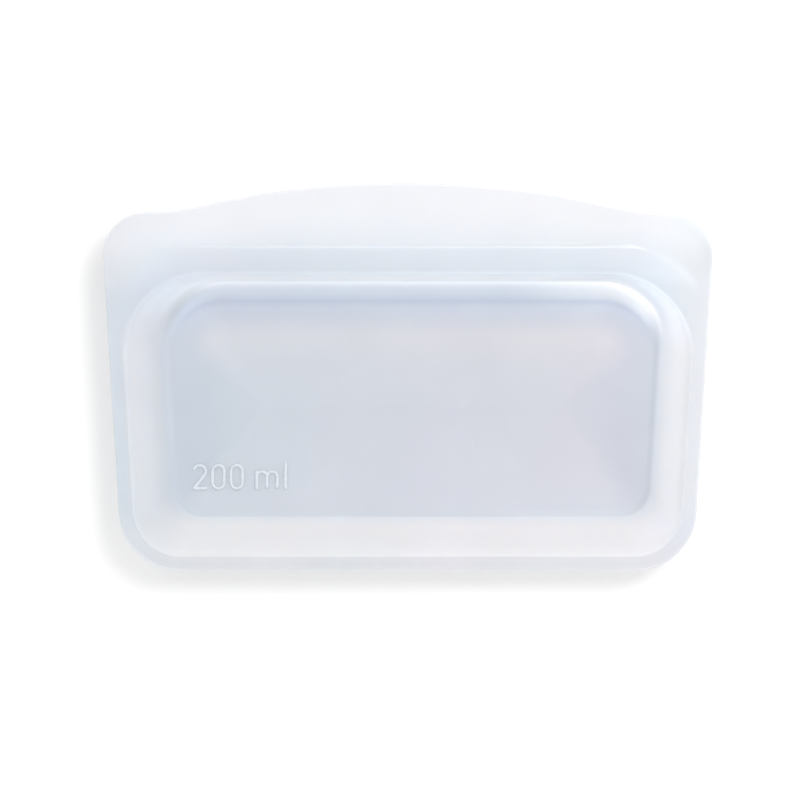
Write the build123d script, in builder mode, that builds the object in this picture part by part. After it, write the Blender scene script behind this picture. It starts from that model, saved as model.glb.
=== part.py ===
from build123d import *
import math
import os

# ---------------------------------------------------------------------------
# Reusable silicone pinch-seal bag, snack size, lying on its back.
# Millimetres.  +X runs along the mouth, +Y from the bottom seam to the mouth,
# +Z from the back wall to the front wall.  Origin: centre of the bag's
# bounding rectangle, on the plane the back wall rests on.
# "Height" means distance above the bottom edge, along Y.
# ---------------------------------------------------------------------------

# overall
HEIGHT = 121.3          # bottom seam to crown of the pull lips
WIDEST = 95.25          # half width at the closure
WIDEST_AT = 97.0        # height of the widest line
TAPER = 3.55            # side edges lean in towards the bottom, degrees
SHOULDER = 112.2        # height of the flat shoulders either side of the crown
R_BOTTOM = 19.4         # bottom corners
R_SHOULDER = 13.4       # top corners
DEPTH = 20.0            # pouch thickness at rest

# right half of the crown, centre outwards: (x, height)
CROWN = [
    (0.0, HEIGHT),
    (28.0, 119.95),
    (50.6, 117.1),
    (66.5, 113.7),
    (79.0, SHOULDER),
]
CROWN_OVERLAP = 2.0     # crown face reaches this far below the shoulders

# wall stack, measured from the resting plane
MID = 10.0              # bond line between the two mouldings
BOND = 0.3              # bond line thickness
RIM = 2.2               # rim and closure bar, each moulding
LIP = 1.3               # pull lip, each moulding
WALL = 1.3              # pouch wall
FRONT_IN = MID + BOND / 2      # inner face of the front moulding
BACK_IN = MID - BOND / 2       # inner face of the back moulding

# pouch
RIM_W = 4.7             # flat rim round sides and bottom
WALL_W = 12.5           # plan width of the sloping side and bottom walls
POUCH_TOP = 91.8        # foot of the pouch's top wall
TOP_WALL_W = 3.0        # plan width of the steep top wall
PANEL_INSET = RIM_W + WALL_W
PANEL_TOP = POUCH_TOP - TOP_WALL_W
R_FOOT_BOTTOM = 14.7
R_FOOT_TOP = 23.5
R_PANEL_BOTTOM = 9.0
R_PANEL_TOP = 17.0
R_EDGE = 3.0            # outside radius between wall and panel

# cavity, relative to the outside of the pouch
CAVITY_FOOT_DROP = 0.8      # top edge at the foot
CAVITY_PANEL_DROP = 0.9     # top edge at the panel
CAVITY_PANEL_INSET = 0.4    # sides and bottom at the panel

# closure bar, rib and channel
BAR_TOP = 101.3         # upper edge of the bar
BAR_OVERHANG = 3.0      # bar zone runs past the bag's sides and bottom
R_BAR = 31.0            # the bar's ends sweep down into the side rims
SEAL_AT = 96.9          # height of the closure's centre line
STRIP_W = 6.4           # rib and channel strips
STRIP_HALF = 72.0       # half length of the strips
RIB_BASE = 1.0          # strip thickness carrying the rib
CHANNEL_T = 1.7         # channel strip thickness

# end stops
STOP_END = 92.6         # outer end
STOP_T = 0.8            # depth of the pocket in each moulding
STOP_CLEAR = 0.15       # clearance in the front pocket, at its ends and floor
STOP_STEP = 0.3         # the front block is smaller by this all round

# back lip living hinge
HINGE_AT = 102.2        # height of the hinge axis
HINGE_HALF = 94.3       # half length

# back wall press panel
PRESS_INSET = 4.6       # from the edge of the flat panel
PRESS_GAP = 0.35        # slit round the press panel
R_PRESS_BOTTOM = 6.0    # corners of the opening
R_PRESS_TOP = 12.0
PRESS_CUT_BELOW = 1.0   # the cut starts this far below the resting plane
PRESS_CUT = 4.0         # length of the cut

# perimeter bond
BOND_INSET = 0.3        # bond stays inside the rim's edges
BOND_REACH = 130.0      # outlines run up past the cut at the closure

# blank that trims an outline above or below a line
TRIM_W, TRIM_H = 250.0, 200.0

SLOPE = math.tan(math.radians(TAPER))
SLANT = math.cos(math.radians(TAPER))
HALF_BOTTOM = WIDEST - SLOPE * WIDEST_AT     # half width at the bottom edge


def y_at(height):
    """Height above the bottom edge to Y."""
    return height - HEIGHT / 2


def half_width(height, inset):
    """Half width between the leaning sides, each moved in by inset."""
    return HALF_BOTTOM + SLOPE * height - inset / SLANT


def save(part, name):
    part.label = name
    export_step(part, f"parts/{name}.step")


# --- flat outlines, all drawn on the resting plane ---
def tapered(inset, top, r_bottom, r_top):
    """Rounded outline with leaning sides; sides and bottom moved in by inset."""
    low = half_width(inset, inset)
    high = half_width(top, inset)
    with BuildSketch(Plane.XY) as sk:
        with BuildLine():
            Polyline(
                (-low, y_at(inset)),
                (low, y_at(inset)),
                (high, y_at(top)),
                (-high, y_at(top)),
                close=True,
            )
        make_face()
        if r_bottom:
            fillet(sk.vertices().group_by(Axis.Y)[0], r_bottom)
        if r_top:
            fillet(sk.vertices().group_by(Axis.Y)[-1], r_top)
    return sk.sketch


def bag_outline():
    """Full outline: leaning sides, rounded shoulders and the crowned lip."""
    right = [(x, y_at(height)) for x, height in CROWN]
    left = [(-x, y) for x, y in reversed(right[1:])]
    crown_end = CROWN[-1][0]
    crown_base = y_at(SHOULDER - CROWN_OVERLAP)
    with BuildSketch(Plane.XY) as sk:
        add(tapered(0, SHOULDER, R_BOTTOM, R_SHOULDER))
        with BuildLine():
            top = Spline(left + right, tangents=[(1, 0), (1, 0)])
            Polyline(top @ 1, (crown_end, crown_base), (-crown_end, crown_base), top @ 0)
        make_face()
    return sk.sketch


def trimmed(outline, height, keep_below):
    """The part of an outline below (or above) a line at the given height."""
    shift = TRIM_H / 2 if keep_below else -TRIM_H / 2
    with BuildSketch(Plane.XY) as sk:
        add(outline)
        with Locations((0, y_at(height) + shift)):
            Rectangle(TRIM_W, TRIM_H, mode=Mode.SUBTRACT)
    return sk.sketch


def press_outline(grow):
    """Press panel outline, grown by the given amount."""
    return tapered(
        PANEL_INSET + PRESS_INSET - grow,
        PANEL_TOP - PRESS_INSET + grow,
        R_PRESS_BOTTOM - PRESS_GAP + grow,
        R_PRESS_TOP - PRESS_GAP + grow,
    )


OUTLINE = bag_outline()
FOOT = tapered(RIM_W, POUCH_TOP, R_FOOT_BOTTOM, R_FOOT_TOP)
PANEL = tapered(PANEL_INSET, PANEL_TOP, R_PANEL_BOTTOM, R_PANEL_TOP)
CAVITY_FOOT = tapered(
    RIM_W, POUCH_TOP - CAVITY_FOOT_DROP, R_FOOT_BOTTOM, R_FOOT_TOP - CAVITY_FOOT_DROP
)
CAVITY_PANEL = tapered(
    PANEL_INSET + CAVITY_PANEL_INSET,
    PANEL_TOP - CAVITY_PANEL_DROP,
    R_PANEL_BOTTOM - CAVITY_PANEL_INSET,
    R_PANEL_TOP - CAVITY_PANEL_DROP,
)
# rim, closure bar and pouch: everything below the step to the lips
BAR = tapered(-BAR_OVERHANG, BAR_TOP, 0, R_BAR)


# --- front and back mouldings ---
def moulding(inner_z, outer_z, lip_outline, strip_depth, stop_pocket_end):
    """Lip layer, rim, closure bar and hollow pouch, from inner_z out to outer_z."""
    out = 1 if outer_z > inner_z else -1
    with BuildPart() as shell:
        with BuildSketch(Plane.XY.offset(inner_z)):
            add(lip_outline)
        extrude(amount=out * LIP)
        with BuildSketch(Plane.XY.offset(inner_z)):
            add(OUTLINE)
            add(BAR, mode=Mode.INTERSECT)
        extrude(amount=out * RIM)
        with BuildSketch(Plane.XY.offset(inner_z + out * RIM)):
            add(FOOT)
        with BuildSketch(Plane.XY.offset(outer_z)):
            add(PANEL)
        loft()
        outermost = -1 if out > 0 else 0
        fillet(shell.faces().sort_by(Axis.Z)[outermost].edges(), R_EDGE)
        with BuildSketch(Plane.XY.offset(inner_z)):
            add(CAVITY_FOOT)
        with BuildSketch(Plane.XY.offset(outer_z - out * WALL)):
            add(CAVITY_PANEL)
        loft(mode=Mode.SUBTRACT)
        # pocket for the rib or channel strip, then a shallower one for the end stops
        for half_length, depth in ((STRIP_HALF, strip_depth), (stop_pocket_end, STOP_T)):
            with BuildSketch(Plane.XY.offset(inner_z)):
                with Locations((0, y_at(SEAL_AT))):
                    Rectangle(2 * half_length, STRIP_W)
            extrude(amount=out * depth, mode=Mode.SUBTRACT)
    return shell.part


# the front moulding carries its pull lip in one piece
save(moulding(FRONT_IN, DEPTH, OUTLINE, RIB_BASE, STOP_END + STOP_CLEAR), "front_panel")

# the back moulding stops below its lip and is open where the press panel moves
with BuildPart() as back_panel:
    add(moulding(BACK_IN, 0, trimmed(OUTLINE, BAR_TOP, True), CHANNEL_T, STOP_END))
    with BuildSketch(Plane.XY.offset(-PRESS_CUT_BELOW)):
        add(press_outline(PRESS_GAP))
    extrude(amount=PRESS_CUT, mode=Mode.SUBTRACT)
save(back_panel.part, "back_panel")


# --- middle of the back wall, which presses in when air is pushed out ---
with BuildPart() as back_wall:
    with BuildSketch(Plane.XY):
        add(press_outline(0))
    extrude(amount=WALL)
save(back_wall.part, "back_wall")


# --- back pull lip, bending on a round living hinge along its root ---
with BuildPart() as back_lip:
    with BuildSketch(Plane.XY.offset(BACK_IN)):
        add(trimmed(OUTLINE, HINGE_AT, False))
    extrude(amount=-LIP)
    with BuildSketch(Plane.YZ.offset(-HINGE_HALF)):
        with Locations((y_at(HINGE_AT), BACK_IN - LIP / 2)):
            Circle(LIP / 2)
    extrude(amount=2 * HINGE_HALF)
save(back_lip.part, "back_lip")


# --- bond between the rims: both sides and the bottom, up to the end stops ---
with BuildPart() as perimeter_bond:
    with BuildSketch(Plane.XY.offset(BACK_IN)):
        outer = tapered(BOND_INSET, BOND_REACH, R_BOTTOM - BOND_INSET, 0)
        add(trimmed(outer, SEAL_AT - STRIP_W / 2, True))
        add(
            tapered(RIM_W - BOND_INSET, BOND_REACH, R_FOOT_BOTTOM + BOND_INSET, 0),
            mode=Mode.SUBTRACT,
        )
    extrude(amount=BOND)
save(perimeter_bond.part, "perimeter_bond")


# --- closure: interlocking rib and channel strips ---
# The head of the rib clears the channel's mouth by 0.05 mm a side, so the two
# halves swing apart freely.  A soft rib is a little wider and snaps through.
RIB_W, RIB_NECK = 2.2, 1.5
GROOVE_W, GROOVE_MOUTH = 3.0, 2.3
RIB_TIP = 8.5
GROOVE_FLOOR = 8.4
CHAMFER_W = 0.25        # plan width of the rib head's and groove mouth's bevels

# Half sections on the +Y side: (distance from the centre line, z)
RIB_SECTION = [
    (STRIP_W / 2, FRONT_IN + RIB_BASE),
    (STRIP_W / 2, FRONT_IN),
    (RIB_NECK / 2, FRONT_IN),
    (RIB_NECK / 2, 9.55),
    (RIB_W / 2, 9.15),
    (RIB_W / 2 - CHAMFER_W, 8.8),
    (0.6, RIB_TIP),
]
CHANNEL_SECTION = [
    (STRIP_W / 2, BACK_IN - CHANNEL_T),
    (STRIP_W / 2, BACK_IN),
    (GROOVE_MOUTH / 2 + CHAMFER_W, BACK_IN),
    (GROOVE_MOUTH / 2, 9.65),
    (GROOVE_W / 2, 9.2),
    (GROOVE_W / 2, 8.7),
    (1.0, GROOVE_FLOOR),
]


def seal_strip(half_section):
    """Strip along X, its section mirrored about the closure's centre line."""
    section = half_section + [(-across, z) for across, z in reversed(half_section)]
    with BuildPart() as strip:
        with BuildSketch(Plane.YZ.offset(-STRIP_HALF)):
            with BuildLine():
                Polyline(*[(y_at(SEAL_AT) + across, z) for across, z in section], close=True)
            make_face()
        extrude(amount=2 * STRIP_HALF)
    return strip.part


save(seal_strip(RIB_SECTION), "seal_rib")
save(seal_strip(CHANNEL_SECTION), "seal_channel")


# --- end stops that fuse the closure's ends shut ---
def end_stop(x_low, x_high):
    """Full block up to the front moulding, then a smaller one in its pocket."""
    centre = ((x_low + x_high) / 2, y_at(SEAL_AT))
    with BuildPart() as stop:
        with BuildSketch(Plane.XY.offset(BACK_IN - STOP_T)):
            with Locations(centre):
                Rectangle(x_high - x_low, STRIP_W)
        extrude(amount=STOP_T + BOND)
        with BuildSketch(Plane.XY.offset(FRONT_IN)):
            with Locations(centre):
                Rectangle(x_high - x_low - 2 * STOP_STEP, STRIP_W - 2 * STOP_STEP)
        extrude(amount=STOP_T - STOP_CLEAR)
    return stop.part


save(end_stop(-STOP_END, -STRIP_HALF), "left_end_stop")
save(end_stop(STRIP_HALF, STOP_END), "right_end_stop")


# --- printed capacity mark on the front wall: "200 ml" in plain strokes ---
# The closed pouch encloses about 219 ml at rest.
INK = 0.08              # print thickness
STROKE = 0.95           # line width
MARK_X = -66.5          # left end of the mark, on stroke centre lines
MARK_Y = y_at(26.0)     # baseline
CAP = 7.2               # digit height
X_HEIGHT = 5.2          # height of the m
ASCENDER = 0.6          # the l rises this far above the digits
TWO_R = 1.9             # bowl of the two
TWO_START, TWO_SWEEP = -40, 205     # its arc, degrees
NOUGHT_X = MARK_X + 7.7             # centre of the first nought
NOUGHT_PITCH = 5.7
NOUGHT_W = 3.6
M_X = MARK_X + 19.6     # first leg of the m
ARCH = 3.2              # pitch of its legs
L_X = M_X + 9.0

with BuildPart() as capacity_mark:
    with BuildSketch(Plane.XY.offset(DEPTH)):
        # two: bowl, diagonal and foot
        two_x = MARK_X + TWO_R
        with BuildLine():
            bowl = CenterArc((two_x, MARK_Y + CAP - TWO_R), TWO_R, TWO_START, TWO_SWEEP)
        trace(line_width=STROKE)
        with BuildLine():
            Line(bowl @ 0, (two_x - TWO_R, MARK_Y))
        trace(line_width=STROKE)
        with Locations((two_x, MARK_Y)):
            SlotOverall(2 * TWO_R + STROKE, STROKE)
        # two noughts
        for i in range(2):
            with Locations((NOUGHT_X + i * NOUGHT_PITCH, MARK_Y + CAP / 2)):
                SlotOverall(CAP + STROKE, NOUGHT_W + STROKE, rotation=90)
                SlotOverall(
                    CAP - STROKE, NOUGHT_W - STROKE, rotation=90, mode=Mode.SUBTRACT
                )
        # m: the first leg is full height, the others end where the arches spring
        for i in range(3):
            leg = X_HEIGHT if i == 0 else X_HEIGHT - ARCH / 2
            with Locations((M_X + i * ARCH, MARK_Y + leg / 2)):
                Rectangle(STROKE, leg + STROKE * (i == 0))
        for i in range(2):
            with BuildLine():
                CenterArc(
                    (M_X + (i + 0.5) * ARCH, MARK_Y + X_HEIGHT - ARCH / 2), ARCH / 2, 0, 180
                )
            trace(line_width=STROKE)
        # l
        with Locations((L_X, MARK_Y + (CAP + ASCENDER) / 2)):
            SlotOverall(CAP + ASCENDER + STROKE, STROKE, rotation=90)
    extrude(amount=INK)
save(capacity_mark.part, "capacity_mark")
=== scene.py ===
import math

import bmesh
import bpy
import numpy as np
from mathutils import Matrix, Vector
from mathutils.bvhtree import BVHTree


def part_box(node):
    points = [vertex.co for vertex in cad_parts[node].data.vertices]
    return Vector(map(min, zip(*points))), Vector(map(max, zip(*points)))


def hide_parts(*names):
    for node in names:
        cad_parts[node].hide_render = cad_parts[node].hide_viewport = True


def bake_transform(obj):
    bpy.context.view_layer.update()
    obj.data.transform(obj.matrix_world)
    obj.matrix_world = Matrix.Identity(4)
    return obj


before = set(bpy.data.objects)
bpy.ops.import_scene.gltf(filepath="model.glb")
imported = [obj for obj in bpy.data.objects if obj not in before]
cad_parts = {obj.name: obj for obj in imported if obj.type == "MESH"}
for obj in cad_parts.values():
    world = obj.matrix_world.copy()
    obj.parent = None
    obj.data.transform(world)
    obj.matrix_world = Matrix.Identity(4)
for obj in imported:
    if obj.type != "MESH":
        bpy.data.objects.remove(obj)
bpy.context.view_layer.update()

# ---------------------------------------------------------------------------
# Where things are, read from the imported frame.  Millimetres from here on:
# x across, v up from the bottom edge, z up from the resting plane.
# ---------------------------------------------------------------------------
f_lo, f_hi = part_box("front_panel")
b_lo, b_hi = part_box("back_panel")
r_lo, r_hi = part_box("seal_rib")
c_lo, c_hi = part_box("seal_channel")
s_lo, s_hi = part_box("right_end_stop")
Y0 = f_lo.y * 1000
HEIGHT = (f_hi.y - f_lo.y) * 1000
Z_TOP = f_hi.z * 1000
FRONT_IN = f_lo.z * 1000
BACK_IN = b_hi.z * 1000
MOUTH = r_hi.x * 1000
STOP_END, STOP_LOW, STOP_TOP = s_hi.x * 1000, s_lo.z * 1000, s_hi.z * 1000
SEAL_V = (r_lo.y + r_hi.y) * 500 - Y0
BAR_TOP = b_hi.y * 1000 - Y0
RIM, LIP, WALL = 2.2, 1.3, 1.3

TAPER = 3.55
K = math.tan(math.radians(TAPER))
C = math.cos(math.radians(TAPER))
X0 = f_hi.x * 1000 - 0.086 - K * 97.0
SHOULDER, R_BOTTOM, R_SHOULDER, R_BAR = 112.2, 19.4, 13.4, 31.0
CROWN = [(0.0, HEIGHT), (28.0, 119.95), (50.6, 117.1), (66.5, 113.7), (79.0, SHOULDER)]

NB, NC, NS, ND = 70, 26, 62, 54     # points on half bottom, low corner, side, high corner


def side(v, inset=0.0):
    return X0 + K * v - inset / C


def fillet_arc(corner, a, b, r, n):
    """Points of the fillet at a corner, from the tangent towards a to the one towards b."""
    p = np.array(corner, float)
    da = np.array(a, float) - p
    db = np.array(b, float) - p
    da /= np.linalg.norm(da)
    db /= np.linalg.norm(db)
    half = math.acos(np.clip(da @ db, -1, 1)) / 2
    centre = p + (da + db) / np.linalg.norm(da + db) * r / math.sin(half)
    s = p + da * r / math.tan(half) - centre
    e = p + db * r / math.tan(half) - centre
    a0, a1 = math.atan2(s[1], s[0]), math.atan2(e[1], e[0])
    d = (a1 - a0 + math.pi) % (2 * math.pi) - math.pi
    t = a0 + d * np.linspace(0, 1, n)
    return centre + r * np.stack([np.cos(t), np.sin(t)], 1)


def line(p, q, n, last=False):
    t = np.linspace(0, 1, n, endpoint=last)[:, None]
    return np.array(p, float) * (1 - t) + np.array(q, float) * t


def half(low_arc, high_arc, top_points, low):
    """Right half of a contour, from the bottom centre round to the top centre."""
    return np.vstack([
        line((0, low), low_arc[0], NB),
        low_arc,
        line(low_arc[-1], high_arc[0], NS + 2, True)[1:-1],
        high_arc,
        top_points,
    ])


def tapered(low, high, inset, r_low, r_high):
    p, q = (side(low, inset), low), (side(high, inset), high)
    a1 = fillet_arc(p, (0, low), q, r_low, NC)
    a2 = fillet_arc(q, p, (0, high), r_high, ND)
    return half(a1, a2, line(a2[-1], (0, high), NB + 1, True)[1:], low)


def crown_v(x):
    """Height of the lip's top edge at x, a clamped cubic through the crown points."""
    xs = np.array([c[0] for c in CROWN])
    vs = np.array([c[1] for c in CROWN])
    n = len(xs)
    h = np.diff(xs)
    m = np.zeros((n, n))
    rhs = np.zeros(n)
    m[0, 0], m[-1, -1] = 1, 1
    for i in range(1, n - 1):
        m[i, i - 1], m[i, i], m[i, i + 1] = h[i], 2 * (h[i] + h[i - 1]), h[i - 1]
        rhs[i] = 3 * (h[i] * (vs[i] - vs[i - 1]) / h[i - 1] + h[i - 1] * (vs[i + 1] - vs[i]) / h[i])
    slope = np.linalg.solve(m, rhs)
    x = np.abs(np.asarray(x, float))
    k = np.clip(np.searchsorted(xs, x) - 1, 0, n - 2)
    t = np.clip((x - xs[k]) / h[k], 0, 1)
    return (
        vs[k] * (1 + 2 * t) * (1 - t) ** 2 + slope[k] * h[k] * t * (1 - t) ** 2
        + vs[k + 1] * t * t * (3 - 2 * t) + slope[k + 1] * h[k] * t * t * (t - 1)
    )


def resample(path, n):
    """n points evenly along a polyline."""
    s = np.concatenate([[0], np.cumsum(np.linalg.norm(np.diff(path, axis=0), axis=1))])
    k = np.linspace(0, s[-1], n)
    return np.stack([np.interp(k, s, path[:, i]) for i in (0, 1)], 1)


def bar_arc(e):
    """The end of the bar, sweeping down until it meets the line e in from the side."""
    q = np.array([side(BAR_TOP, -3), BAR_TOP])
    arc = fillet_arc(q, (side(0, -3), 0), (0, BAR_TOP), R_BAR, 400)
    return resample(arc[arc[:, 0] <= side(arc[:, 1], e)], ND)


EDGE = 0.9
V_CUT = bar_arc(EDGE)[0, 1]


def outline(top=None):
    """Right half of the bag's outline; with top, cut straight across at that height."""
    p = (side(0), 0)
    q = (side(SHOULDER), SHOULDER)
    a1 = fillet_arc(p, (0, 0), q, R_BOTTOM, NC)
    start = [(side(V_CUT), V_CUT)]
    if top is None:
        a2 = resample(np.vstack([start, fillet_arc(q, p, (0, SHOULDER), R_SHOULDER, 200)]), ND)
        xs = np.linspace(a2[-1][0], 0, NB + 1)[1:]
        tops = np.stack([xs, crown_v(xs)], 1)
    else:
        q = (side(top), top)
        a2 = resample(np.vstack([start, fillet_arc(q, p, (0, top), 1.2, 100)]), ND)
        tops = line(a2[-1], (0, top), NB + 1, True)[1:]
    return half(a1, a2, tops, 0)


def inset(h, d):
    """Moves a half contour in by d along its own normals."""
    g = np.gradient(h, axis=0)
    g[0], g[-1] = (1, 0), (-1, 0)
    n = np.stack([-g[:, 1], g[:, 0]], 1)
    n /= np.linalg.norm(n, axis=1)[:, None]
    return h + n * (np.asarray(d)[:, None] if np.ndim(d) else d)


def bar_edge(e):
    """Edge of the raised bar and rim: in from the outline, then swept under the lip."""
    a2 = bar_arc(e)
    a1 = fillet_arc((side(e, e), e), (0, e), (side(90, e), 90), R_BOTTOM - e, NC)
    return half(a1, a2, line(a2[-1], (0, BAR_TOP), NB + 1, True)[1:], e)


def smooth(t):
    t = np.clip(t, 0, 1)
    return t * t * (3 - 2 * t)


def away(p, poly):
    """Distance from each point to a half contour and its mirror image."""
    q = np.stack([np.abs(p[:, 0]), p[:, 1]], 1)
    a, b = poly[:-1], poly[1:]
    ab = b - a
    t = np.einsum("nij,ij->ni", q[:, None] - a[None], ab) / (np.sum(ab * ab, 1) + 1e-12)
    near = a[None] + np.clip(t, 0, 1)[..., None] * ab[None]
    return np.sqrt(((q[:, None] - near) ** 2).sum(-1).min(1))


M = len(outline())
TOPNESS = np.zeros(M)
TOPNESS[NB + NC + NS:NB + NC + NS + ND] = smooth(np.linspace(0, 1, ND))
TOPNESS[NB + NC + NS + ND:] = 1
LOWNESS = np.zeros(M)
LOWNESS[:NB] = 1
LOWNESS[NB:NB + NC] = smooth(np.linspace(1, 0, NC))


def core(v, reach):
    """The line the rings close on: both long edges meet on it, the ends gather at its tips."""
    x = np.full(M, reach)
    x[:NB] = np.linspace(0, reach, NB, endpoint=False)
    x[-NB:] = np.linspace(reach, 0, NB + 1)[1:]
    return np.stack([x, np.full(M, v)], 1)


# ---------------------------------------------------------------------------
# Silicone skins
# ---------------------------------------------------------------------------
def soften(x, v):
    """Slow unevenness of a hand-sized silicone moulding, in mm."""
    return (
        0.16 * np.sin(x / 17.0 + 0.6) * np.sin(v / 13.0 + 0.4)
        + 0.10 * np.sin(x / 9.3 - v / 21.0 + 1.9)
        + 0.06 * np.sin(x / 5.1 + v / 7.7 + 0.3)
    )


def lip_wave(x, v):
    """Both pull lips share one gentle wave, so they stay parallel."""
    reach = np.clip((v - BAR_TOP - 1.5) / 18.0, 0, 1)
    return reach ** 1.4 * (0.34 * np.sin(x / 21.0 + 0.8) + 0.16 * np.sin(x / 9.5 + 2.0))


CREST = tapered(17.0, 89.7, 16.6, 9.4, 19.6)
RIDGE_LINE = tapered(17.0, 90.9, 15.6, 9.4, 20.6)


def skin_rings(out, e, crest_z, drop, centre_z, top_open):
    """Rings of one moulding as heights above its own inner face, from the inside
    core out to the edge and back over the outside to the core.
    Columns: x, v, height, place (0 edge .. 5 core), topness, lowness."""
    l1 = bar_edge(e)
    if not top_open:
        pull = smooth((l1[:, 1] - (BAR_TOP - 1.1)) / 1.1)
        l1 = l1 - np.stack([0 * pull, pull * e], 1)
    foot = tapered(4.7, 92.9, 4.7, 14.7, 25.5)
    crest = CREST
    pan = tapered(19.6, 83.4, 19.0, 8.2, 15.6)
    mid = core(51.5, 46.0)
    foot_in = tapered(5.9, 91.8, 5.9, 13.9, 24.4)
    crest_in = tapered(17.9, 88.5, 17.5, 8.7, 18.4)
    pan_in = tapered(20.0, 83.0, 19.5, 7.8, 15.2)

    rows = []

    def put(xy, z, place):
        rows.append(np.column_stack([
            xy, np.broadcast_to(z, (M,)), np.full(M, float(place)), TOPNESS, LOWNESS,
        ]))

    panel_z = crest_z - drop
    # inside, from the core outwards
    for t in np.linspace(1, 0, 13):
        z = panel_z + (centre_z - panel_z) * (1 - (1 - t) ** 2.2) - WALL
        put(pan_in * (1 - t) + mid * t, z, 4 + t)
    for t in np.linspace(1, 0, 8)[1:]:
        put(crest_in * (1 - t) + pan_in * t, crest_z - drop * smooth(t) - WALL, 3 + t)
    for t in np.linspace(1, 0, 12)[1:]:
        put(foot_in * (1 - t) + crest_in * t, (crest_z - WALL) * smooth(t) ** 0.85, 2 + t)
    for t in (0.95, 0.9, 0.83, 0.76, 0.69, 0.6, 0.5, 0.38, 0.25, 0.12):
        put(inset(out, 0.9) * (1 - t) + foot_in * t, 0.0, 2 * t)
    put(inset(out, 0.45), 0.0, 0)
    put(inset(out, 0.12), 0.05, 0)

    # edge and outside
    def base(xy):
        d = away(xy, l1)
        low = LIP + (RIM - LIP) * smooth((np.abs(xy[:, 0]) - 54) / 24)
        return low + (RIM - low) * (1 - smooth(d / 0.9))

    for d, up in ((0.0, 0.25), (0.0, 0.5), (0.0, 0.72), (0.07, 0.86), (0.22, 0.95), (0.45, 0.99)):
        xy = inset(out, d)
        put(xy, base(xy) * up, 0.02)
    start = inset(out, 0.75)
    for t in (0, 0.12, 0.26, 0.4, 0.54, 0.68, 0.8, 0.88, 0.93, 0.96, 0.98):
        xy = start * (1 - t) + l1 * t
        put(xy, base(xy), 0.05 + 0.95 * t)
    bead = 0.22 * (1 - TOPNESS) ** 2.5
    for t in (0, 0.06, 0.14, 0.3, 0.46, 0.62, 0.74, 0.83, 0.89, 0.94, 0.97):
        xy = l1 * (1 - t) + foot * t
        d = away(xy, foot)
        z = RIM - 0.12 * math.sin(math.pi * t) * TOPNESS + bead * np.exp(-((d / 0.45) ** 2))
        put(xy, z, 1 + t)
    for t in np.concatenate([[0, 0.03, 0.07, 0.12], np.linspace(0.18, 0.9, 13), [0.94, 0.97]]):
        xy = foot * (1 - t) + crest * t
        d = np.linalg.norm(xy - foot, axis=1)
        round_top = smooth(TOPNESS * 2.5)
        rise = smooth(t) ** 0.86 * (1 - round_top) + math.sin(t * math.pi / 2) ** (1.0 + 0.3 * smooth(TOPNESS * 4 - 3)) * round_top
        put(xy, RIM + (crest_z - RIM) * rise + bead * np.exp(-((d / 0.45) ** 2)), 2 + t)
    for t in np.concatenate([[0, 0.02, 0.045, 0.07, 0.1], np.linspace(0.15, 0.94, 12)]):
        put(crest * (1 - t) + pan * t, crest_z - drop * smooth(t), 3 + t)
    for t in np.linspace(0, 1, 27):
        z = panel_z + (centre_z - panel_z) * (1 - (1 - t) ** 2.2)
        put(pan * (1 - t) + mid * t, z, 4 + t)
    return rows


LEAN = 1.3      # the soft belly sits a little to one side, mm


def rings_to_object(name, rows, height_to_z, extra):
    """Closed mesh from half rings, mirrored; attributes hold the ring columns."""
    full = []
    for r in rows:
        left = r[1:-1][::-1].copy()
        left[:, 0] *= -1
        full.append(np.vstack([r, left]))
    n = len(full[0])
    co = np.concatenate(full)
    co[:, 0] += LEAN * smooth(co[:, 3] - 2)
    x, v = co[:, 0], co[:, 1]
    z = height_to_z(co[:, 2] + extra(x, v, co[:, 3]))
    pts = np.stack([x, v + Y0, z], 1) * 0.001
    faces = []
    for k in range(len(full) - 1):
        for i in range(n):
            j = (i + 1) % n
            faces.append((k * n + i, k * n + j, (k + 1) * n + j, (k + 1) * n + i))
    mesh = bpy.data.meshes.new(name)
    mesh.from_pydata(pts.tolist(), [], faces)
    for label, col in (("place", 3), ("topness", 4), ("lowness", 5)):
        a = mesh.attributes.new(label, "FLOAT", "POINT")
        a.data.foreach_set("value", co[:, col].astype(np.float32))
    return finish_mesh(name, mesh)


def finish_mesh(name, mesh, merge=2e-6):
    bm = bmesh.new()
    bm.from_mesh(mesh)
    bmesh.ops.remove_doubles(bm, verts=bm.verts, dist=merge)
    bmesh.ops.dissolve_degenerate(bm, edges=bm.edges, dist=1e-7)
    bmesh.ops.recalc_face_normals(bm, faces=bm.faces)
    bm.to_mesh(mesh)
    bm.free()
    for p in mesh.polygons:
        p.use_smooth = True
    obj = bpy.data.objects.new(name, mesh)
    bpy.context.scene.collection.objects.link(obj)
    return obj


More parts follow.
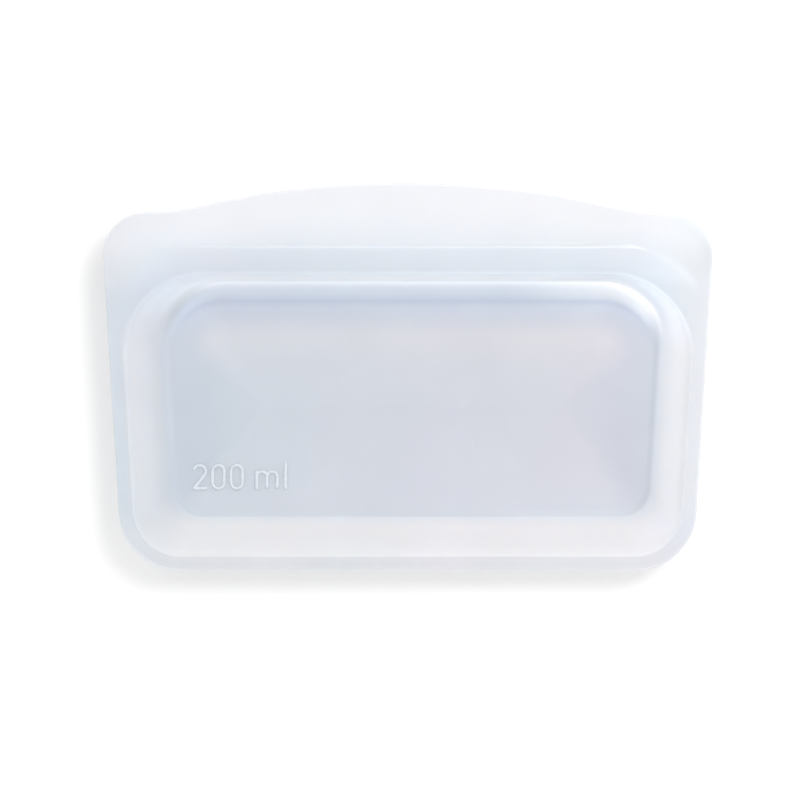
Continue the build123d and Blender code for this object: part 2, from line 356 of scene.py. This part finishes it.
def pocket(obj, x, v0, v1, z0, z1):
    """Cuts a rectangular seat out of a moulding: half length x, from v0 to v1, z0 to z1."""
    bm = bmesh.new()
    bmesh.ops.create_cube(bm, size=1.0)
    for axis, cuts in ((0, 119), (1, 3)):
        # Slices it along its length and across.
        long = [e for e in bm.edges if abs(e.verts[0].co[axis] - e.verts[1].co[axis]) > 0.5]
        bmesh.ops.subdivide_edges(bm, edges=long, cuts=cuts, use_grid_fill=True)
    for p in bm.verts:
        p.co = Vector((
            p.co.x * 2 * x, (v0 + v1) / 2 + p.co.y * (v1 - v0) + Y0, (z0 + z1) / 2 + p.co.z * (z1 - z0),
        )) * 0.001
    mesh = bpy.data.meshes.new("cutter")
    bm.to_mesh(mesh)
    bm.free()
    cutter = bpy.data.objects.new("cutter", mesh)
    bpy.context.scene.collection.objects.link(cutter)
    mod = obj.modifiers.new("seat", "BOOLEAN")
    mod.operation = "DIFFERENCE"
    mod.solver = "EXACT"
    mod.object = cutter
    done = bpy.data.meshes.new_from_object(obj.evaluated_get(bpy.context.evaluated_depsgraph_get()))
    done.name = obj.name
    obj.modifiers.remove(mod)
    obj.data = done
    bpy.data.objects.remove(cutter)
    bpy.data.meshes.remove(mesh)


def coords(obj):
    co = np.zeros(len(obj.data.vertices) * 3, np.float32)
    obj.data.vertices.foreach_get("co", co)
    co = co.reshape(-1, 3).astype(float) * 1000
    co[:, 1] -= Y0
    return co


# front moulding
crest_f = (Z_TOP - FRONT_IN) - 0.65 * (1 - TOPNESS) - 0.45 * LOWNESS
drop_f = 0.16 + 2.29 * TOPNESS ** 1.5 - 0.04 * LOWNESS


def front_extra(x, v, place):
    inner = smooth((place - 2.6) / 1.2)
    return soften(x, v) * inner * 0.55 - 0.12 * inner + lip_wave(x, v)


front_rows = skin_rings(outline(), EDGE, crest_f, drop_f, 8.75, True)
front_skin = rings_to_object("front_skin", front_rows, lambda h: FRONT_IN + h, front_extra)
SEAT = (SEAL_V - 3.22, SEAL_V + 3.22)
pocket(front_skin, STOP_END + 0.02, *SEAT, FRONT_IN - 1, STOP_TOP + 0.02)
pocket(front_skin, MOUTH + 0.02, *SEAT, FRONT_IN - 1, r_hi.z * 1000 + 0.02)
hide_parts("front_panel")

# back moulding: rests on its crest, and its middle sags to the table
crest_b = np.full(M, BACK_IN)
drop_b = 1.1 + 0.5 * TOPNESS


def back_extra(x, v, place):
    return soften(-x, v) * smooth((place - 3.4) / 1.2) * 0.4 - 0.1 * smooth((place - 3.4) / 1.0)


back_rows = skin_rings(outline(BAR_TOP), EDGE, crest_b, drop_b, BACK_IN - 0.5, False)
back_skin = rings_to_object("back_skin", back_rows, lambda h: BACK_IN - h, back_extra)
pocket(back_skin, STOP_END + 0.02, *SEAT, STOP_LOW - 0.02, BACK_IN + 1)
pocket(back_skin, MOUTH + 0.02, *SEAT, c_lo.z * 1000 - 0.02, BACK_IN + 1)
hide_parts("back_panel", "back_wall")


# back pull lip: a full-round-edged leaf from the bar up to the crown
def make_back_lip():
    edge = outline()
    low = BAR_TOP + 0.02
    up = edge[NB + NC:]
    up = up[up[:, 1] > low + 0.01]
    s = np.concatenate([[0], np.cumsum(np.linalg.norm(np.diff(up, axis=0), axis=1))])
    k = np.concatenate([np.linspace(0, 24, 70, endpoint=False), np.linspace(24, s[-1], 90)])
    up = np.stack([np.interp(k, s, up[:, i]) for i in (0, 1)], 1)
    up = np.vstack([up, (up[:-1] * (-1, 1))[::-1]])
    rel = np.array([0, 0.02, 0.05, 0.1, 0.18, 0.28, 0.4, 0.52, 0.64, 0.75, 0.84, 0.9])
    cuts = np.array([0.9, 0.65, 0.42, 0.24, 0.11, 0.03, 0.0])
    cols = []
    for x, v in up:
        h = v - low
        near = v - np.minimum(cuts, h * 0.5)
        far = low + rel * (near[0] - low)
        cols.append(np.stack([np.full(len(rel) + len(cuts), x), np.concatenate([far, near])], 1))
    grid = np.array(cols)
    nx, nv = grid.shape[:2]
    flat = grid.reshape(-1, 2)
    d = away(flat, edge)
    r = LIP / 2
    h = np.sqrt(np.clip(r * r - np.clip(r - d, 0, r) ** 2, 0, None)).reshape(nx, nv)
    h[:, -1] = 0
    zc = BACK_IN - r + lip_wave(flat[:, 0], flat[:, 1]).reshape(nx, nv)
    pts, faces = [], []
    for sign in (1, -1):
        for i in range(nx):
            for j in range(nv):
                pts.append((grid[i, j, 0], grid[i, j, 1] + Y0, zc[i, j] + sign * h[i, j]))
    idx = lambda s, i, j: s * nx * nv + i * nv + j
    for sgn in (0, 1):
        for i in range(nx - 1):
            for j in range(nv - 1):
                q = (idx(sgn, i, j), idx(sgn, i, j + 1), idx(sgn, i + 1, j + 1), idx(sgn, i + 1, j))
                faces.append(q if sgn else q[::-1])
    for i in range(nx - 1):
        faces.append((idx(0, i, 0), idx(0, i + 1, 0), idx(1, i + 1, 0), idx(1, i, 0)))
    for i, flip in ((0, False), (nx - 1, True)):
        for j in range(nv - 1):
            q = (idx(0, i, j), idx(1, i, j), idx(1, i, j + 1), idx(0, i, j + 1))
            faces.append(q[::-1] if flip else q)
    mesh = bpy.data.meshes.new("back_lip_skin")
    mesh.from_pydata((np.array(pts) * 0.001).tolist(), [], faces)
    for label, value in (("place", 0.4), ("topness", 1.0), ("lowness", 0.0)):
        a = mesh.attributes.new(label, "FLOAT", "POINT")
        a.data.foreach_set("value", np.full(len(pts), value, np.float32))
    return finish_mesh("back_lip_skin", mesh, 1e-6)


back_lip_skin = make_back_lip()
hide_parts("back_lip")


# closure rib: moulded under the front bar
def make_rib():
    c, r0 = SEAL_V, FRONT_IN
    prof = [
        (-3.2, r0 + 1.0), (0, r0 + 1.0), (3.2, r0 + 1.0), (3.2, r0), (2.2, r0), (0.95, r0 - 0.05),
        (0.78, r0 - 0.25), (0.75, 9.58), (0.86, 9.42), (1.08, 9.2), (1.1, 9.08), (1.02, 8.86),
        (0.8, 8.62), (0.5, 8.52), (0.0, 8.5), (-0.5, 8.52), (-0.8, 8.62), (-1.02, 8.86),
        (-1.1, 9.08), (-1.08, 9.2), (-0.86, 9.42), (-0.75, 9.58), (-0.78, r0 - 0.25),
        (-0.95, r0 - 0.05), (-2.2, r0), (-3.2, r0),
    ]
    n = len(prof)
    xs = np.linspace(-MOUTH, MOUTH, 121)
    pts = [(x, c + a + Y0, z) for x in xs for a, z in prof]
    faces = []
    for k in range(len(xs) - 1):
        for i in range(n):
            j = (i + 1) % n
            faces.append((k * n + i, k * n + j, (k + 1) * n + j, (k + 1) * n + i))
    faces.append(tuple(range(n))[::-1])
    faces.append(tuple((len(xs) - 1) * n + i for i in range(n)))
    mesh = bpy.data.meshes.new("seal_rib_strip")
    mesh.from_pydata((np.array(pts) * 0.001).tolist(), [], faces)
    return finish_mesh("seal_rib_strip", mesh, 1e-6)


seal_rib_strip = make_rib()
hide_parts("seal_rib")


# printed capacity mark, laid on the front wall
def make_print():
    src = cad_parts["capacity_mark"].data
    lo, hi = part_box("capacity_mark")
    mid_z = (lo.z + hi.z) / 2
    bm = bmesh.new()
    bm.from_mesh(src)
    bmesh.ops.remove_doubles(bm, verts=bm.verts, dist=1e-6)
    for _ in range(3):
        long_edges = [e for e in bm.edges if e.calc_length() > 0.0011]
        if not long_edges:
            break
        bmesh.ops.subdivide_edges(bm, edges=long_edges, cuts=1, use_grid_fill=False)
        bmesh.ops.triangulate(bm, faces=bm.faces)
    skin = front_skin.data
    tree = BVHTree.FromPolygons([v.co.copy() for v in skin.vertices], [tuple(p.vertices) for p in skin.polygons])
    for v in bm.verts:
        hit = tree.ray_cast(Vector((v.co.x, v.co.y, 0.05)), Vector((0, 0, -1)))[0]
        v.co.z = hit.z + (0.00006 if v.co.z > mid_z else -0.00002)
    mesh = bpy.data.meshes.new("capacity_print")
    bm.to_mesh(mesh)
    bm.free()
    return finish_mesh("capacity_print", mesh, 1e-7)


capacity_print = make_print()
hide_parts("capacity_mark")

# ---------------------------------------------------------------------------
# Baking each piece's transform into its mesh
# ---------------------------------------------------------------------------
for piece in (front_skin, seal_rib_strip, capacity_print):
    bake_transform(piece)
    co = coords(piece)

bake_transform(back_skin)
co = coords(back_skin)
pressed = tapered(17.2, 87.6, 17.2, 9.0, 18.6)

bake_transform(back_lip_skin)


# ---------------------------------------------------------------------------
# Materials
# ---------------------------------------------------------------------------
def node(nt, kind, x, y, **inputs):
    n = nt.nodes.new(kind)
    n.location = (x, y)
    for key, value in inputs.items():
        n.inputs[key.replace("_", " ")].default_value = value
    return n


def silicone(name, base, alpha_face, alpha_edge, rough, sss, zones):
    mat = bpy.data.materials.new(name)
    mat.use_nodes = True
    nt = mat.node_tree
    nt.nodes.clear()
    out = nt.nodes.new("ShaderNodeOutputMaterial")
    bsdf = nt.nodes.new("ShaderNodeBsdfPrincipled")
    # part of the light goes straight through, so shadows stay pale
    path = nt.nodes.new("ShaderNodeLightPath")
    through = nt.nodes.new("ShaderNodeMath")
    through.operation = "MULTIPLY_ADD"
    through.inputs[1].default_value = -0.72
    through.inputs[2].default_value = 0.72
    clear = nt.nodes.new("ShaderNodeBsdfTransparent")
    pass_on = nt.nodes.new("ShaderNodeMixShader")
    nt.links.new(path.outputs["Is Camera Ray"], through.inputs[0])
    nt.links.new(through.outputs[0], pass_on.inputs[0])
    nt.links.new(bsdf.outputs[0], pass_on.inputs[1])
    nt.links.new(clear.outputs[0], pass_on.inputs[2])
    nt.links.new(pass_on.outputs[0], out.inputs[0])
    coord = nt.nodes.new("ShaderNodeTexCoord")

    cloud = node(nt, "ShaderNodeTexNoise", -900, 300, Scale=26.0, Detail=4.0, Roughness=0.55)
    fine = node(nt, "ShaderNodeTexNoise", -900, 0, Scale=420.0, Detail=5.0, Roughness=0.6)
    grain = node(nt, "ShaderNodeTexNoise", -900, -300, Scale=2600.0, Detail=2.0, Roughness=0.5)
    dust = nt.nodes.new("ShaderNodeTexVoronoi")
    dust.inputs["Scale"].default_value = 310.0
    dust.inputs["Randomness"].default_value = 1.0
    for n in (cloud, fine, grain, dust):
        nt.links.new(coord.outputs["Object"], n.inputs["Vector"])

    # colour: painted light and shade of each zone, slow clouding, sparse lint specks
    colour = nt.nodes.new("ShaderNodeRGB")
    colour.outputs[0].default_value = (*base, 1)
    src = colour.outputs[0]
    if zones:
        shade = nt.nodes.new("ShaderNodeAttribute")
        shade.attribute_name = "shade"
        mul = nt.nodes.new("ShaderNodeMix")
        mul.data_type = "RGBA"
        mul.blend_type = "MULTIPLY"
        mul.inputs["Factor"].default_value = 1.0
        nt.links.new(src, mul.inputs[6])
        nt.links.new(shade.outputs["Color"], mul.inputs[7])
        src = mul.outputs[2]
    vary = nt.nodes.new("ShaderNodeMapRange")
    vary.inputs["From Min"].default_value = 0.3
    vary.inputs["From Max"].default_value = 0.7
    vary.inputs["To Min"].default_value = 0.975
    vary.inputs["To Max"].default_value = 1.02
    nt.links.new(cloud.outputs["Fac"], vary.inputs["Value"])
    mul2 = nt.nodes.new("ShaderNodeVectorMath")
    mul2.operation = "SCALE"
    nt.links.new(src, mul2.inputs[0])
    nt.links.new(vary.outputs[0], mul2.inputs["Scale"])
    drift = node(nt, "ShaderNodeTexNoise", -900, 600, Scale=15.0, Detail=2.0, Roughness=0.5)
    nt.links.new(coord.outputs["Object"], drift.inputs["Vector"])
    hue = nt.nodes.new("ShaderNodeValToRGB")
    hue.color_ramp.elements[0].position = 0.36
    hue.color_ramp.elements[0].color = (0.985, 1.0, 1.0, 1)
    hue.color_ramp.elements[1].position = 0.64
    hue.color_ramp.elements[1].color = (1.0, 0.988, 0.998, 1)
    nt.links.new(drift.outputs["Fac"], hue.inputs["Fac"])
    tint = nt.nodes.new("ShaderNodeMix")
    tint.data_type = "RGBA"
    tint.blend_type = "MULTIPLY"
    tint.inputs["Factor"].default_value = 1.0
    nt.links.new(mul2.outputs[0], tint.inputs[6])
    nt.links.new(hue.outputs[0], tint.inputs[7])
    speck = nt.nodes.new("ShaderNodeMapRange")
    speck.inputs["From Min"].default_value = 0.0
    speck.inputs["From Max"].default_value = 0.035
    speck.inputs["To Min"].default_value = 0.55
    speck.inputs["To Max"].default_value = 0.0
    nt.links.new(dust.outputs["Distance"], speck.inputs["Value"])
    mixd = nt.nodes.new("ShaderNodeMix")
    mixd.data_type = "RGBA"
    nt.links.new(speck.outputs[0], mixd.inputs["Factor"])
    nt.links.new(tint.outputs[2], mixd.inputs[6])
    mixd.inputs[7].default_value = (0.93, 0.93, 0.94, 1)
    nt.links.new(mixd.outputs[2], bsdf.inputs["Base Color"])

    # roughness: satin, varied by a fine noise
    rr = nt.nodes.new("ShaderNodeMapRange")
    rr.inputs["From Min"].default_value = 0.3
    rr.inputs["From Max"].default_value = 0.7
    rr.inputs["To Min"].default_value = rough - 0.06
    rr.inputs["To Max"].default_value = rough + 0.08
    nt.links.new(fine.outputs["Fac"], rr.inputs["Value"])
    nt.links.new(rr.outputs[0], bsdf.inputs["Roughness"])

    # bump: faint orange peel and the mould's matt grain
    b1 = node(nt, "ShaderNodeBump", -300, -200, Strength=0.10, Distance=0.0004)
    b2 = node(nt, "ShaderNodeBump", -100, -200, Strength=0.12, Distance=0.00006)
    nt.links.new(fine.outputs["Fac"], b1.inputs["Height"])
    nt.links.new(grain.outputs["Fac"], b2.inputs["Height"])
    nt.links.new(b1.outputs[0], b2.inputs["Normal"])
    nt.links.new(b2.outputs[0], bsdf.inputs["Normal"])

    # see-through face on, denser at grazing angles
    facing = nt.nodes.new("ShaderNodeLayerWeight")
    facing.inputs["Blend"].default_value = 0.35
    al = nt.nodes.new("ShaderNodeMapRange")
    al.inputs["To Min"].default_value = alpha_face
    al.inputs["To Max"].default_value = alpha_edge
    nt.links.new(facing.outputs["Facing"], al.inputs["Value"])
    nt.links.new(al.outputs[0], bsdf.inputs["Alpha"])

    bsdf.inputs["IOR"].default_value = 1.41
    bsdf.inputs["Subsurface Weight"].default_value = sss
    bsdf.inputs["Subsurface Radius"].default_value = (0.9, 1.0, 1.15)
    bsdf.inputs["Subsurface Scale"].default_value = 0.003
    bsdf.inputs["Coat Weight"].default_value = 0.42
    bsdf.inputs["Coat Roughness"].default_value = 0.22
    bsdf.inputs["Coat IOR"].default_value = 1.45
    bsdf.inputs["Sheen Weight"].default_value = 0.08
    bsdf.inputs["Sheen Roughness"].default_value = 0.5
    return mat


def print_ink():
    mat = bpy.data.materials.new("white_ink")
    mat.use_nodes = True
    nt = mat.node_tree
    bsdf = nt.nodes["Principled BSDF"]
    coord = nt.nodes.new("ShaderNodeTexCoord")
    n = node(nt, "ShaderNodeTexNoise", -600, 200, Scale=900.0, Detail=4.0, Roughness=0.65)
    nt.links.new(coord.outputs["Object"], n.inputs["Vector"])
    ramp = nt.nodes.new("ShaderNodeValToRGB")
    ramp.color_ramp.elements[0].position = 0.3
    ramp.color_ramp.elements[0].color = (0.57, 0.61, 0.68, 1)
    ramp.color_ramp.elements[1].position = 0.62
    ramp.color_ramp.elements[1].color = (0.65, 0.69, 0.75, 1)
    nt.links.new(n.outputs["Fac"], ramp.inputs["Fac"])
    nt.links.new(ramp.outputs[0], bsdf.inputs["Base Color"])
    bump = node(nt, "ShaderNodeBump", -300, -200, Strength=0.15, Distance=0.00005)
    nt.links.new(n.outputs["Fac"], bump.inputs["Height"])
    nt.links.new(bump.outputs[0], bsdf.inputs["Normal"])
    bsdf.inputs["Roughness"].default_value = 0.55
    return mat


def set_shade(obj, rgb):
    a = obj.data.color_attributes.get("shade") or obj.data.color_attributes.new("shade", "FLOAT_COLOR", "POINT")
    full = np.ones((len(obj.data.vertices), 4), np.float32)
    full[:, :3] = rgb
    a.data.foreach_set("color", full.ravel())


def read(obj, label):
    out = np.zeros(len(obj.data.vertices), np.float32)
    obj.data.attributes[label].data.foreach_get("value", out)
    return out.astype(float)


# How pale the silicone looks in each zone, from the edge (0) over the bar's edge (1),
# the wall's foot (2), its crest (3) and the panel's edge (4) to the middle (5).
# The colours hold the silicone's own pale blue-grey with painted light and shade on it:
# thick and doubled places are painted whiter for the light that scatters through them,
# and the panel and the slope inside the crest are painted in the shade they get.
SHADE_TOP = [
    (0.0, (0.725, 0.735, 0.762)), (0.4, (0.742, 0.752, 0.782)), (0.8, (0.711, 0.736, 0.775)),
    (0.96, (0.690, 0.722, 0.764)), (1.03, (0.655, 0.697, 0.752)), (1.5, (0.624, 0.668, 0.734)),
    (1.9, (0.608, 0.656, 0.716)), (2.6, (0.612, 0.657, 0.722)), (3.02, (0.650, 0.687, 0.756)),
    (3.1, (0.622, 0.662, 0.737)), (3.3, (0.580, 0.634, 0.730)), (3.9, (0.476, 0.527, 0.634)),
    (4.16, (0.531, 0.553, 0.610)), (4.3, (0.592, 0.588, 0.626)), (4.6, (0.573, 0.583, 0.630)),
    (5.0, (0.565, 0.583, 0.632)),
]
# colour of the painted highlight along the crest
PAINTED_RIDGE_HIGHLIGHT = np.array([0.737, 0.772, 0.829])
SHADE_SIDE = [
    (0.0, (0.640, 0.660, 0.702)), (1.0, (0.644, 0.665, 0.702)), (1.85, (0.649, 0.671, 0.714)),
    (2.2, (0.715, 0.727, 0.760)), (2.5, (0.682, 0.700, 0.748)), (2.78, (0.617, 0.636, 0.679)),
    (3.0, (0.526, 0.562, 0.619)), (3.5, (0.519, 0.555, 0.617)), (4.3, (0.527, 0.556, 0.613)),
    (5.0, (0.561, 0.577, 0.626)),
]
SHADE_LOW = [
    (0.0, (0.740, 0.748, 0.775)), (0.03, (0.740, 0.748, 0.775)), (0.08, (0.655, 0.661, 0.689)),
    (1.5, (0.658, 0.663, 0.690)), (1.86, (0.690, 0.697, 0.722)), (1.97, (0.760, 0.763, 0.776)),
    (2.1, (0.800, 0.801, 0.821)), (2.4, (0.798, 0.798, 0.819)),
    (2.75, (0.770, 0.765, 0.784)), (3.0, (0.640, 0.668, 0.706)), (3.15, (0.556, 0.590, 0.632)),
    (3.4, (0.536, 0.570, 0.614)), (3.6, (0.560, 0.590, 0.634)),
    (4.1, (0.577, 0.599, 0.648)), (5.0, (0.561, 0.577, 0.626)),
]


# Painted light and shade trims, by the same places: over the whole top, and how its two corners
# and its two side rims differ from each other. Over the top they lighten the shade at the wall's foot,
# dim the slope below the crest and lift the slope inside it; the right corner gets a painted highlight
# and the left corner painted shade; the right rim and bar are painted lighter, the left rim darker,
# and the lip darker towards its right end.
TRIM_TOP = [
    (1.86, 1.0), (1.96, 1.10), (2.02, 1.16), (2.2, 1.14), (2.4, 1.06), (2.6, 0.96), (2.77, 0.86),
    (2.9, 0.93), (3.03, 1.01), (3.2, 1.03), (3.35, 1.055), (3.5, 1.08), (3.64, 1.07), (3.83, 1.02),
    (3.95, 1.0),
]
TRIM_TOP_RIGHT = [
    (2.3, 1.0), (2.5, 0.96), (2.65, 0.95), (2.78, 1.02), (2.88, 1.09), (3.0, 1.20), (3.15, 1.28),
    (3.35, 1.31), (3.5, 1.30), (3.7, 1.22), (3.9, 1.07), (4.1, 1.0),
]
TRIM_TOP_LEFT = [
    (1.9, 1.0), (2.2, 1.03), (2.5, 1.06), (2.65, 1.12), (2.75, 1.08), (2.85, 0.90),
    (2.97, 0.82), (3.1, 0.82), (3.3, 0.87), (3.5, 0.94), (3.8, 1.0),
]
TRIM_SIDE_RIGHT = [
    (0.0, 1.035), (1.6, 1.035), (1.85, 1.02), (2.1, 0.96), (2.5, 0.96), (2.8, 1.0), (3.0, 1.04),
    (3.3, 0.95), (3.6, 0.95), (4.0, 1.0),
]
TRIM_SIDE_LEFT = [
    (0.0, 0.94), (1.6, 0.94), (1.85, 0.98), (2.1, 1.03), (2.5, 1.05), (2.8, 1.02), (3.2, 1.0),
    (3.6, 0.98), (4.0, 1.0),
]
TRIM_LIP = [(-80, 0.995), (-60, 0.995), (0, 0.99), (20, 0.975), (60, 0.99), (78, 0.98), (86, 0.975), (91, 0.955), (95, 0.91)]
TRIM_BAR = [(-80, 1.02), (-36, 1.01), (30, 1.01), (51, 1.03), (66, 1.045), (78, 1.06), (86, 1.09), (95, 1.09)]


def painted_light_trims(xv, place, top):
    def by(table, at):
        return np.interp(at, [t[0] for t in table], [t[1] for t in table])

    x, v = xv[:, 0], xv[:, 1]
    out = by(TRIM_TOP, place) ** (1.1 * top)
    turn = np.arctan2(v - 70.1, np.abs(x - 1.3) - 58.65)
    round_left = np.clip(np.sin(2 * np.clip(turn, 0, math.pi / 2)), 0, 1) ** 2 * (x < 0)
    round_right = smooth((x - 28) / 38) * smooth((turn - 0.15) / 0.6)
    out = out * by(TRIM_TOP_LEFT, place) ** (1.1 * round_left) * by(TRIM_TOP_RIGHT, place) ** (1.1 * round_right)
    upper = np.where(place < 1.85, np.where(x < 0, 93.0, 100.0), 78.0)
    flank = smooth((np.abs(x) - 66) / 10) * smooth((upper - v) / 12) * smooth((v - 12) / 10)
    out = out * by(TRIM_SIDE_LEFT, place) ** (flank * (x < 0)) * by(TRIM_SIDE_RIGHT, place) ** (flank * (x > 0))
    width = 0.1 + 0.9 * smooth((np.abs(x) - 56) / 20)
    lip = smooth((1.0 - place) / width + 0.5) * smooth((v - 88) / 10)
    bar = smooth((place - 1.0) / width + 0.5) * smooth((1.95 - place) / 0.3) * smooth((v - 88) / 6)
    out = out * by(TRIM_LIP, x) ** lip * by(TRIM_BAR, x) ** bar
    # painted highlight: a pale streak on the bar's edge where it turns down on the right
    near = np.where((x > 70) & (place > 0.2) & (place < 1.8) & (v > 85))[0]
    if len(near):
        d = away(xv[near], bar_edge(EDGE))
        out[near] *= 1 + 0.065 * np.exp(-((d / 1.3) ** 2)) * smooth((x[near] - 72) / 9) * smooth((93 - x[near]) / 5)
    # painted tints of light and shade: the left rim bluer in its shade, the right flank warmer where lit, the
    # highlight at the right corner less blue, the panel bluer to the left and less blue to the right, and the lip
    # less blue towards the right
    rim = flank * (x < 0) * smooth((1.85 - place) / 0.3)
    shine = round_right * smooth((place - 2.6) / 0.3) * smooth((4.0 - place) / 0.4)
    warm = flank * (x > 0)
    cool = smooth((place - 3.9) / 0.4) * np.clip(-x / 50, -1, 1)
    hue = np.stack([
        1 - 0.022 * rim, 1 + 0.012 * rim - 0.004 * warm + 0.02 * cool - 0.03 * shine,
        1 + 0.028 * rim - 0.012 * lip * smooth(x / 60) - 0.024 * warm + 0.02 * cool
        - 0.055 * shine,
    ], 1)
    return out[:, None] * hue


def zone_shade(xv, place, top, low):
    def ramp(table, at):
        p = np.array([t[0] for t in table])
        c = np.array([t[1] for t in table])
        return np.stack([np.interp(at, p, c[:, i]) for i in range(3)], 1)

    # the step from lip to bar is crisp along the bar and melts away round its ends
    step = np.where(place < 1, -9.0, 9.0)
    near = np.where((top > 0) & (place < 2.2))[0]
    if len(near):
        d = away(xv[near], bar_edge(EDGE))
        step[near] = np.where(place[near] < 1, -d, d)
    width = 1.3 + 8.0 * smooth((np.abs(xv[:, 0]) - 56) / 20)
    m = smooth(0.5 + step / width)[:, None]
    high = ramp(SHADE_TOP, np.minimum(place, 0.97)) * (1 - m) + ramp(SHADE_TOP, np.maximum(place, 1.02)) * m
    top = np.clip(top * 1.6, 0, 1)

    # painted highlight: the crest shows as a pale ridge along the top and round its corners
    near = np.where((top > 0) & (place > 1.9) & (place < 3.7))[0]
    if len(near):
        p = xv[near] - np.stack([LEAN * smooth(place[near] - 2), 0 * place[near]], 1)
        ridge_highlight = np.exp(-((away(p, RIDGE_LINE) / 1.5) ** 2))[:, None]
        high[near] = high[near] * (1 - ridge_highlight) + PAINTED_RIDGE_HIGHLIGHT * ridge_highlight
    side_share = np.clip(1 - top - low, 0, 1)
    return (
        high * top[:, None] + ramp(SHADE_LOW, place) * low[:, None]
        + ramp(SHADE_SIDE, place) * side_share[:, None]
    ) * painted_light_trims(xv, place, top)


# painted light and shade of each zone, kept in the colour attribute shade
for piece in (front_skin, back_skin, back_lip_skin):
    set_shade(piece, zone_shade(
        coords(piece)[:, :2], read(piece, "place"), read(piece, "topness"), read(piece, "lowness")
    ))

SKIN = silicone("frosted_silicone", (1.0, 1.0, 1.0), 0.88, 1.0, 0.42, 0.6, True)
SEAL = silicone("seal_silicone", (0.82, 0.84, 0.88), 0.92, 1.0, 0.30, 0.5, False)
BOND = silicone("bond_silicone", (0.85, 0.86, 0.89), 0.92, 1.0, 0.25, 0.5, False)
INK = print_ink()


def wear(obj, mat):
    obj.data.materials.clear()
    obj.data.materials.append(mat)


for piece in (front_skin, back_skin, back_lip_skin):
    wear(piece, SKIN)
wear(seal_rib_strip, SEAL)
wear(capacity_print, INK)
wear(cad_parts["seal_channel"], SEAL)
for n in ("perimeter_bond", "left_end_stop", "right_end_stop"):
    wear(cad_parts[n], BOND)

# ---------------------------------------------------------------------------
# Floor, light, camera
# ---------------------------------------------------------------------------
floor_mesh = bpy.data.meshes.new("floor")
floor_mesh.from_pydata([(-4, -4, 0), (4, -4, 0), (4, 4, 0), (-4, 4, 0)], [], [(0, 1, 2, 3)])
floor = bpy.data.objects.new("floor", floor_mesh)
bpy.context.scene.collection.objects.link(floor)
floor.location.z = -0.0001
fm = bpy.data.materials.new("floor")
fm.use_nodes = True
fb = fm.node_tree.nodes["Principled BSDF"]
fb.inputs["Base Color"].default_value = (0.95, 0.95, 0.95, 1)
fb.inputs["Roughness"].default_value = 0.9
fb.inputs["Specular IOR Level"].default_value = 0.1
floor.data.materials.append(fm)


def softbox(name, place, size, power, aim=(0, 0, 0.01)):
    data = bpy.data.lights.new(name, "AREA")
    data.shape = "SQUARE"
    data.size = size
    data.energy = power
    obj = bpy.data.objects.new(name, data)
    obj.location = place
    obj.rotation_euler = (Vector(aim) - Vector(place)).to_track_quat("-Z", "Y").to_euler()
    bpy.context.scene.collection.objects.link(obj)
    return obj


softbox("key", (0.50, 0.44, 0.76), 0.42, 4.2)
shine = softbox("shine", (0.355, 0.423, 0.770), 0.34, 6.5)
shine.visible_diffuse = False
softbox("fill", (-0.7, -0.3, 0.9), 0.9, 0.3)

world = bpy.data.worlds.new("studio")
bpy.context.scene.world = world
world.use_nodes = True
world.node_tree.nodes["Background"].inputs[0].default_value = (1, 1, 1, 1)
world.node_tree.nodes["Background"].inputs[1].default_value = 0.90

cam_data = bpy.data.cameras.new("camera")
cam_data.lens = 120.0
cam_data.sensor_width = 36.0
cam = bpy.data.objects.new("camera", cam_data)
cam.location = (-0.00242, -0.00719, 0.0125 + 0.25 * 120.0 / 36.0)
bpy.context.scene.collection.objects.link(cam)
bpy.context.scene.camera = cam
bpy.context.scene.view_settings.view_transform = "Standard"
bpy.context.scene.view_settings.look = "None"
